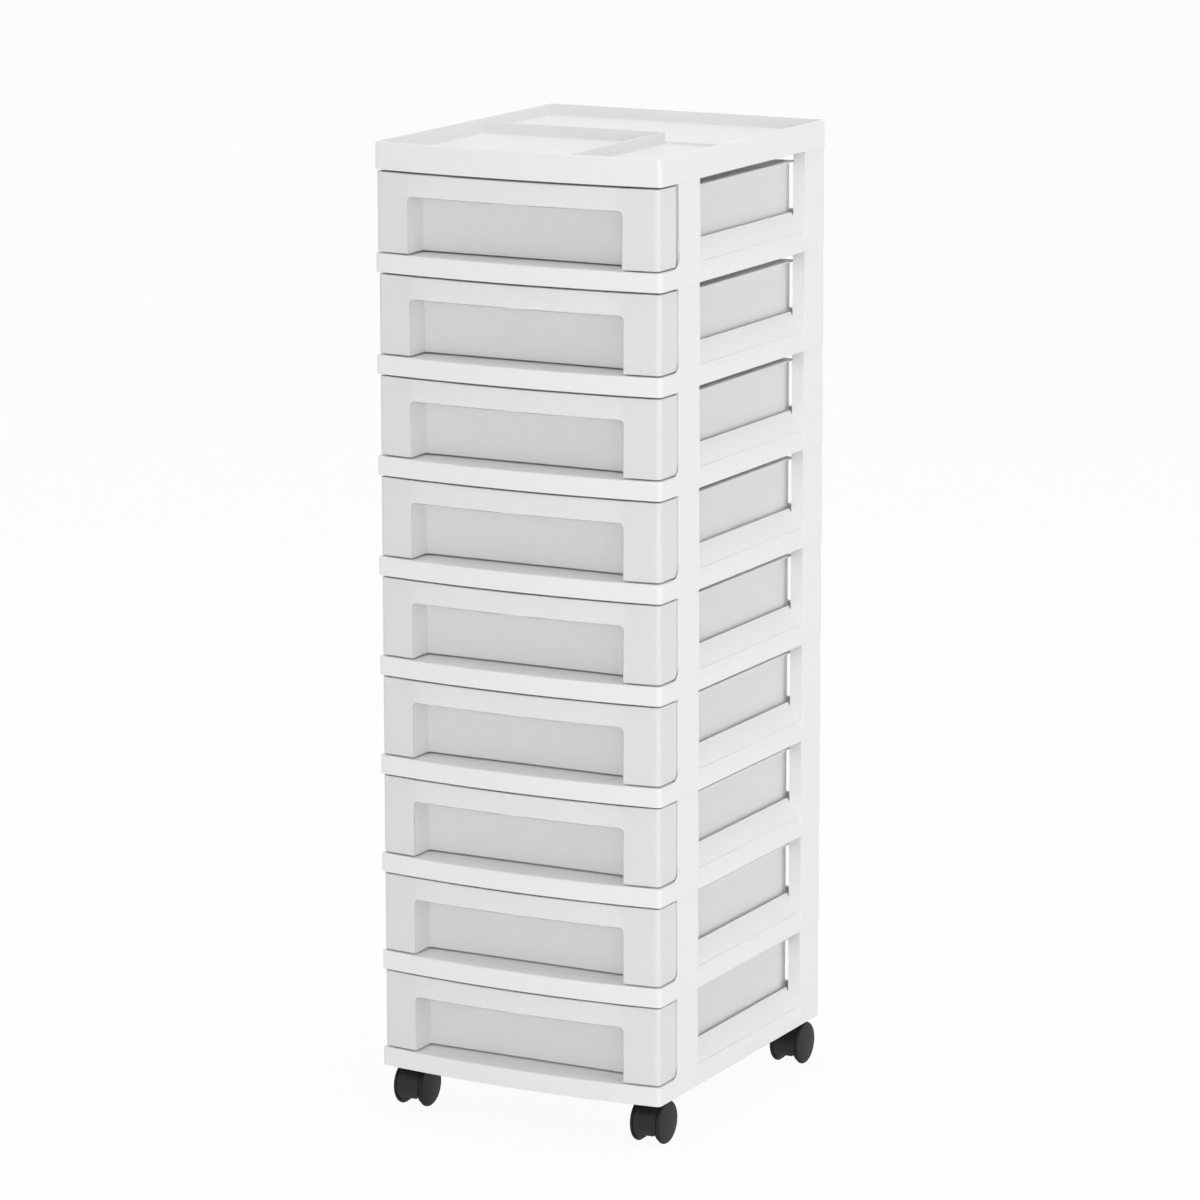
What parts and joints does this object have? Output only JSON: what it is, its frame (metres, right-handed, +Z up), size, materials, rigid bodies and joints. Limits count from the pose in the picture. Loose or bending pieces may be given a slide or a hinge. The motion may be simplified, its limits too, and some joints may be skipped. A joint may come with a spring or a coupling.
{
  "type": "rolling drawer tower",
  "caption": "Tall stack of frosted plastic drawers in white stacking frames, with an open organizer tray on top and twin-wheel casters.",
  "frame": {"origin": "on the floor under the middle of the tray's outline", "axes": "+Z up, -Y the drawers' fronts, +X to the right as seen from the front"},
  "size_m": [0.304, 0.362, 0.9499],
  "materials": {
    "white_plastic": "satin moulded polypropylene",
    "frosted_plastic": "frosted translucent moulded polypropylene",
    "black_plastic": "fine satin nylon",
    "wheel_plastic": "satin nylon",
    "zinc_steel": "zinc plated",
    "spring_steel": "bare spring steel"
  },
  "bodies": {
    "tower": {"organizer_tray": "white_plastic", "frame_1": "white_plastic", "frame_2": "white_plastic", "frame_3": "white_plastic", "frame_4": "white_plastic", "frame_5": "white_plastic", "frame_6": "white_plastic", "frame_7": "white_plastic", "frame_8": "white_plastic", "frame_9": "white_plastic", "caster_front_left_stem": "zinc_steel", "caster_front_left_grip_ring": "spring_steel", "caster_front_right_stem": "zinc_steel", "caster_front_right_grip_ring": "spring_steel", "caster_rear_left_stem": "zinc_steel", "caster_rear_left_grip_ring": "spring_steel", "caster_rear_right_stem": "zinc_steel", "caster_rear_right_grip_ring": "spring_steel"},
    "drawer_1_body": {"drawer_1": "frosted_plastic"},
    "drawer_2_body": {"drawer_2": "frosted_plastic"},
    "drawer_3_body": {"drawer_3": "frosted_plastic"},
    "drawer_4_body": {"drawer_4": "frosted_plastic"},
    "drawer_5_body": {"drawer_5": "frosted_plastic"},
    "drawer_6_body": {"drawer_6": "frosted_plastic"},
    "drawer_7_body": {"drawer_7": "frosted_plastic"},
    "drawer_8_body": {"drawer_8": "frosted_plastic"},
    "drawer_9_body": {"drawer_9": "frosted_plastic"},
    "caster_front_left_fork": {"caster_front_left_housing": "black_plastic", "caster_front_left_axle": "zinc_steel"},
    "caster_front_left_left_wheel": {"caster_front_left_wheel_left": "wheel_plastic"},
    "caster_front_left_right_wheel": {"caster_front_left_wheel_right": "wheel_plastic"},
    "caster_front_right_fork": {"caster_front_right_housing": "black_plastic", "caster_front_right_axle": "zinc_steel"},
    "caster_front_right_left_wheel": {"caster_front_right_wheel_left": "wheel_plastic"},
    "caster_front_right_right_wheel": {"caster_front_right_wheel_right": "wheel_plastic"},
    "caster_rear_left_fork": {"caster_rear_left_housing": "black_plastic", "caster_rear_left_axle": "zinc_steel"},
    "caster_rear_left_left_wheel": {"caster_rear_left_wheel_left": "wheel_plastic"},
    "caster_rear_left_right_wheel": {"caster_rear_left_wheel_right": "wheel_plastic"},
    "caster_rear_right_fork": {"caster_rear_right_housing": "black_plastic", "caster_rear_right_axle": "zinc_steel"},
    "caster_rear_right_left_wheel": {"caster_rear_right_wheel_left": "wheel_plastic"},
    "caster_rear_right_right_wheel": {"caster_rear_right_wheel_right": "wheel_plastic"}
  },
  "joints": [
    {"name": "drawer_1_slide", "type": "slide", "parent": "tower", "child": "drawer_1_body", "axis": [0, -1, 0], "range_m": [0, 0.238]},
    {"name": "drawer_2_slide", "type": "slide", "parent": "tower", "child": "drawer_2_body", "axis": [0, -1, 0], "range_m": [0, 0.238]},
    {"name": "drawer_3_slide", "type": "slide", "parent": "tower", "child": "drawer_3_body", "axis": [0, -1, 0], "range_m": [0, 0.238]},
    {"name": "drawer_4_slide", "type": "slide", "parent": "tower", "child": "drawer_4_body", "axis": [0, -1, 0], "range_m": [0, 0.238]},
    {"name": "drawer_5_slide", "type": "slide", "parent": "tower", "child": "drawer_5_body", "axis": [0, -1, 0], "range_m": [0, 0.238]},
    {"name": "drawer_6_slide", "type": "slide", "parent": "tower", "child": "drawer_6_body", "axis": [0, -1, 0], "range_m": [0, 0.238]},
    {"name": "drawer_7_slide", "type": "slide", "parent": "tower", "child": "drawer_7_body", "axis": [0, -1, 0], "range_m": [0, 0.238]},
    {"name": "drawer_8_slide", "type": "slide", "parent": "tower", "child": "drawer_8_body", "axis": [0, -1, 0], "range_m": [0, 0.238]},
    {"name": "drawer_9_slide", "type": "slide", "parent": "tower", "child": "drawer_9_body", "axis": [0, -1, 0], "range_m": [-0.0025, 0.2355]},
    {"name": "caster_front_left_swivel", "type": "hinge", "parent": "tower", "child": "caster_front_left_fork", "pos_m": [-0.13, -0.1334, 0.0395], "axis": [0, 0, 1], "continuous": true},
    {"name": "caster_front_left_left_roll", "type": "hinge", "parent": "caster_front_left_fork", "child": "caster_front_left_left_wheel", "pos_m": [-0.13, -0.1414, 0.02125], "axis": [1, 0, 0], "continuous": true},
    {"name": "caster_front_left_right_roll", "type": "hinge", "parent": "caster_front_left_fork", "child": "caster_front_left_right_wheel", "pos_m": [-0.13, -0.1414, 0.02125], "axis": [1, 0, 0], "continuous": true},
    {"name": "caster_front_right_swivel", "type": "hinge", "parent": "tower", "child": "caster_front_right_fork", "pos_m": [0.13, -0.1334, 0.0395], "axis": [0, 0, 1], "continuous": true},
    {"name": "caster_front_right_left_roll", "type": "hinge", "parent": "caster_front_right_fork", "child": "caster_front_right_left_wheel", "pos_m": [0.13, -0.1414, 0.02125], "axis": [1, 0, 0], "continuous": true},
    {"name": "caster_front_right_right_roll", "type": "hinge", "parent": "caster_front_right_fork", "child": "caster_front_right_right_wheel", "pos_m": [0.13, -0.1414, 0.02125], "axis": [1, 0, 0], "continuous": true},
    {"name": "caster_rear_left_swivel", "type": "hinge", "parent": "tower", "child": "caster_rear_left_fork", "pos_m": [-0.1335, 0.1654, 0.0395], "axis": [0, 0, 1], "continuous": true},
    {"name": "caster_rear_left_left_roll", "type": "hinge", "parent": "caster_rear_left_fork", "child": "caster_rear_left_left_wheel", "pos_m": [-0.1335, 0.1574, 0.02125], "axis": [1, 0, 0], "continuous": true},
    {"name": "caster_rear_left_right_roll", "type": "hinge", "parent": "caster_rear_left_fork", "child": "caster_rear_left_right_wheel", "pos_m": [-0.1335, 0.1574, 0.02125], "axis": [1, 0, 0], "continuous": true},
    {"name": "caster_rear_right_swivel", "type": "hinge", "parent": "tower", "child": "caster_rear_right_fork", "pos_m": [0.1335, 0.1654, 0.0395], "axis": [0, 0, 1], "continuous": true},
    {"name": "caster_rear_right_left_roll", "type": "hinge", "parent": "caster_rear_right_fork", "child": "caster_rear_right_left_wheel", "pos_m": [0.1335, 0.1574, 0.02125], "axis": [1, 0, 0], "continuous": true},
    {"name": "caster_rear_right_right_roll", "type": "hinge", "parent": "caster_rear_right_fork", "child": "caster_rear_right_right_wheel", "pos_m": [0.1335, 0.1574, 0.02125], "axis": [1, 0, 0], "continuous": true}
  ]
}
